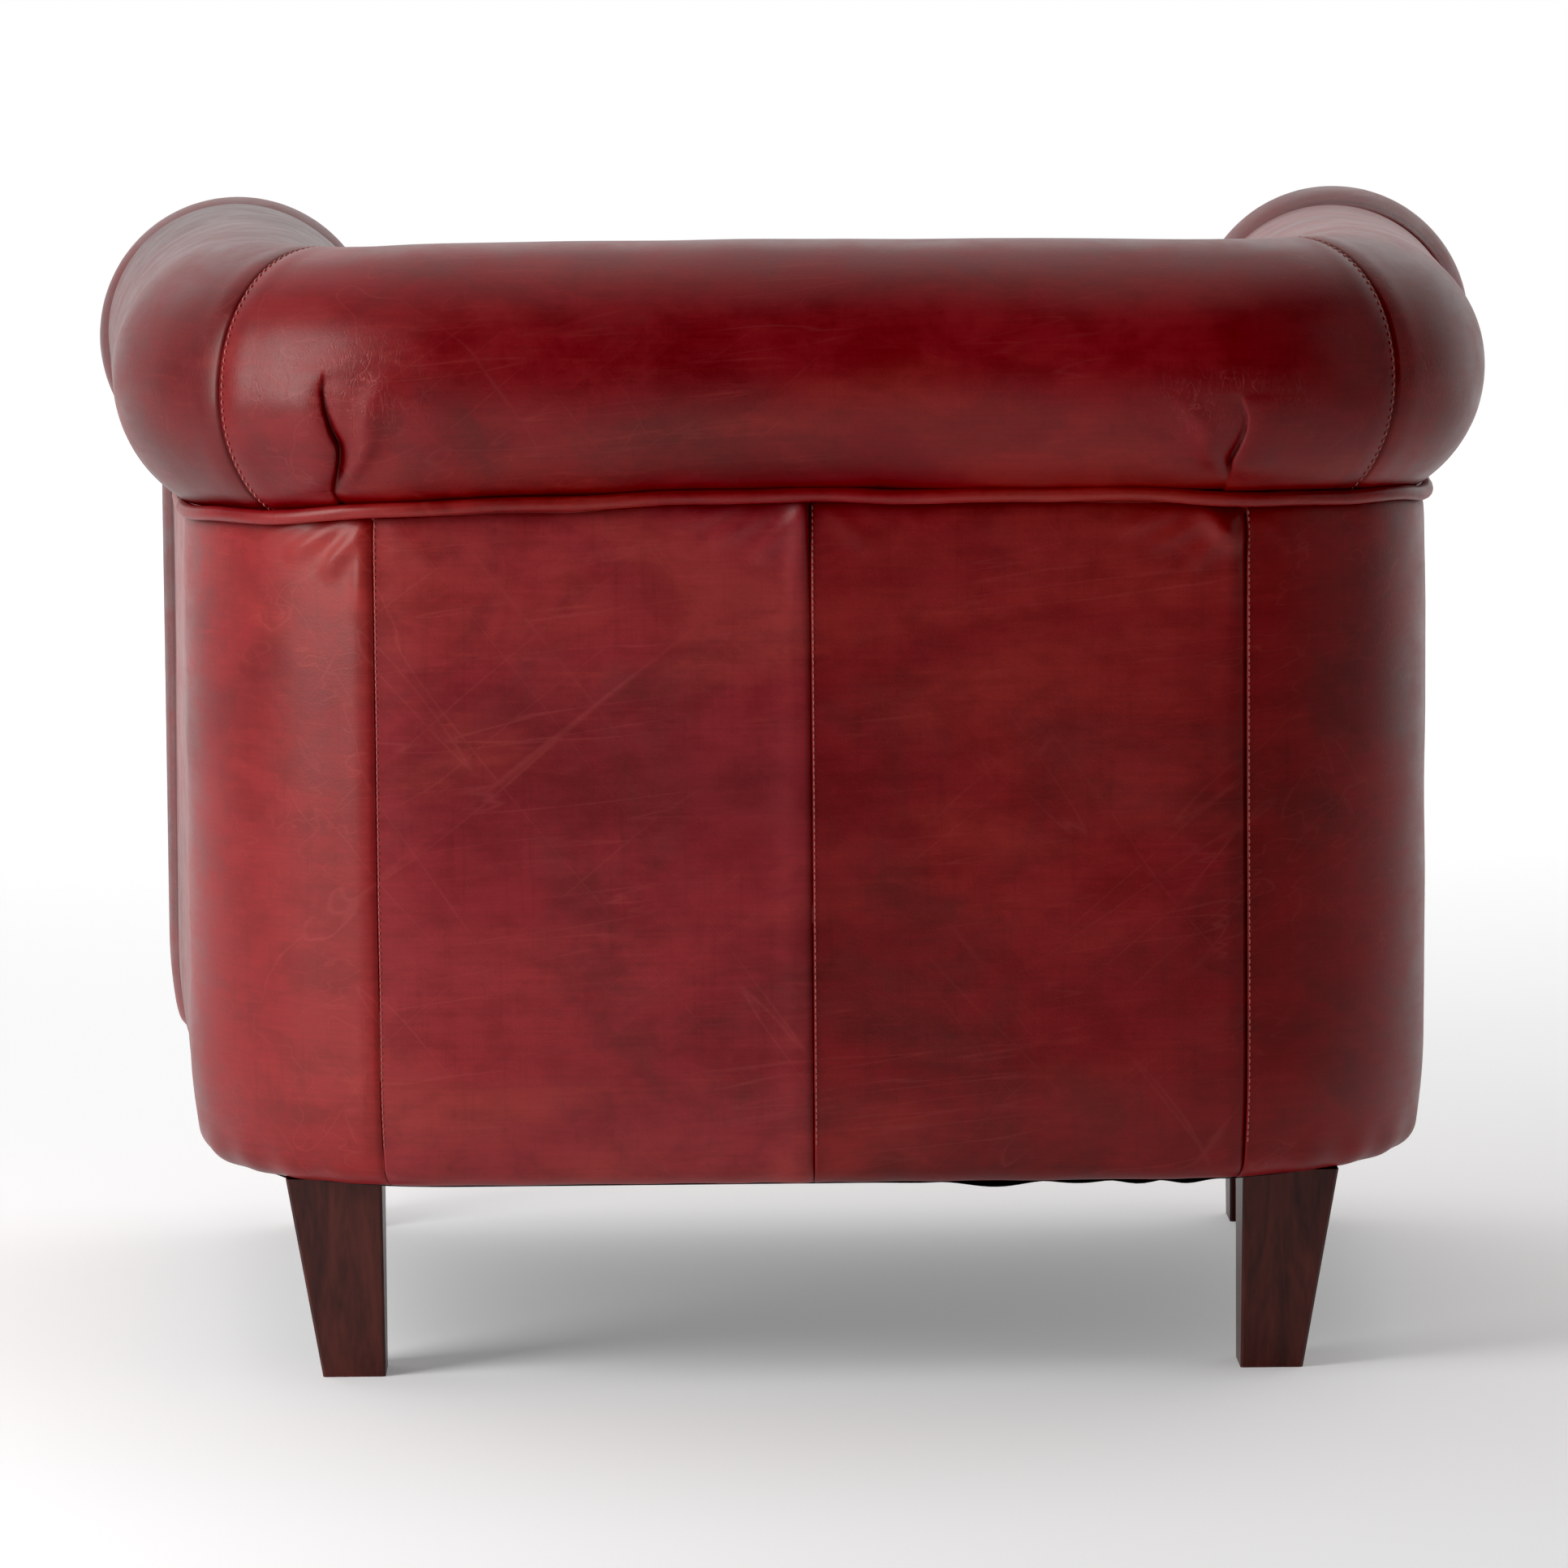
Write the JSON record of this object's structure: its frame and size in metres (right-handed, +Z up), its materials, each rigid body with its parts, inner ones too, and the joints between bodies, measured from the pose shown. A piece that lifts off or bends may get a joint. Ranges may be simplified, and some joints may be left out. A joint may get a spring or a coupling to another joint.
{
  "type": "leather armchair",
  "caption": "Low tub armchair in waxed leather with a rolled back and arms, piped outside panels, a loose boxed seat cushion and tapered wooden legs.",
  "frame": {"origin": "on the floor under the middle of the bounding box", "axes": "+Z up, the sitter faces -Y, +X is the sitter's left"},
  "size_m": [0.944, 0.76, 0.698],
  "materials": {
    "oxblood_leather": "waxed, worn satin gloss",
    "leg_wood": "dark stain, satin lacquer",
    "frame_wood": "sawn, bare",
    "plywood": "bare birch plywood",
    "hardboard": "bare hardboard",
    "zinc_steel": "zinc plated",
    "spring_steel": "dark drawn wire",
    "webbing": "woven elastic",
    "hessian": "coarse jute weave",
    "deck_cloth": "plain weave lining",
    "dust_cloth": "black non-woven",
    "wadding": "soft polyester",
    "foam": "open-cell foam",
    "zip": "nylon zip tape"
  },
  "bodies": {
    "chair": {"arm_front_posts": "frame_wood", "back_cover": "oxblood_leather", "back_foam": "foam", "back_left_panel": "oxblood_leather", "back_posts": "frame_wood", "back_right_panel": "oxblood_leather", "back_seat_rail": "frame_wood", "back_webbing": "webbing", "base_ring": "plywood", "corner_posts": "frame_wood", "deck_cloth": "deck_cloth", "deck_pad": "foam", "dust_cover": "dust_cloth", "front_border_cover": "oxblood_leather", "front_border_foam": "foam", "front_corner_blocks": "frame_wood", "front_left_leg": "leg_wood", "front_right_leg": "leg_wood", "front_seat_rail": "frame_wood", "left_arm_board": "plywood", "left_arm_cover": "oxblood_leather", "left_arm_foam": "foam", "left_arm_webbing": "webbing", "left_facing_cover": "oxblood_leather", "left_facing_foam": "foam", "left_seat_rail": "frame_wood", "left_side_panel": "oxblood_leather", "leg_bolts": "zinc_steel", "leg_tee_nuts": "zinc_steel", "outer_lining": "hardboard", "outer_wadding": "wadding", "rear_corner_blocks": "frame_wood", "rear_left_leg": "leg_wood", "rear_right_leg": "leg_wood", "right_arm_board": "plywood", "right_arm_cover": "oxblood_leather", "right_arm_foam": "foam", "right_arm_webbing": "webbing", "right_facing_cover": "oxblood_leather", "right_facing_foam": "foam", "right_seat_rail": "frame_wood", "right_side_panel": "oxblood_leather", "roll_piping": "oxblood_leather", "seat_springs": "spring_steel", "side_posts": "frame_wood", "spring_clips": "zinc_steel", "spring_cover": "hessian", "spring_ties": "spring_steel", "top_ring": "plywood"},
    "seat_cushion": {"cushion_foam": "foam", "cushion_cover": "oxblood_leather", "cushion_top_welt": "oxblood_leather", "cushion_bottom_welt": "oxblood_leather", "cushion_zip": "zip"}
  },
  "joints": [
    {"name": "cushion_lift", "type": "slide", "parent": "chair", "child": "seat_cushion", "axis": [0, 0, 1], "range_m": [0, 0.42]}
  ]
}
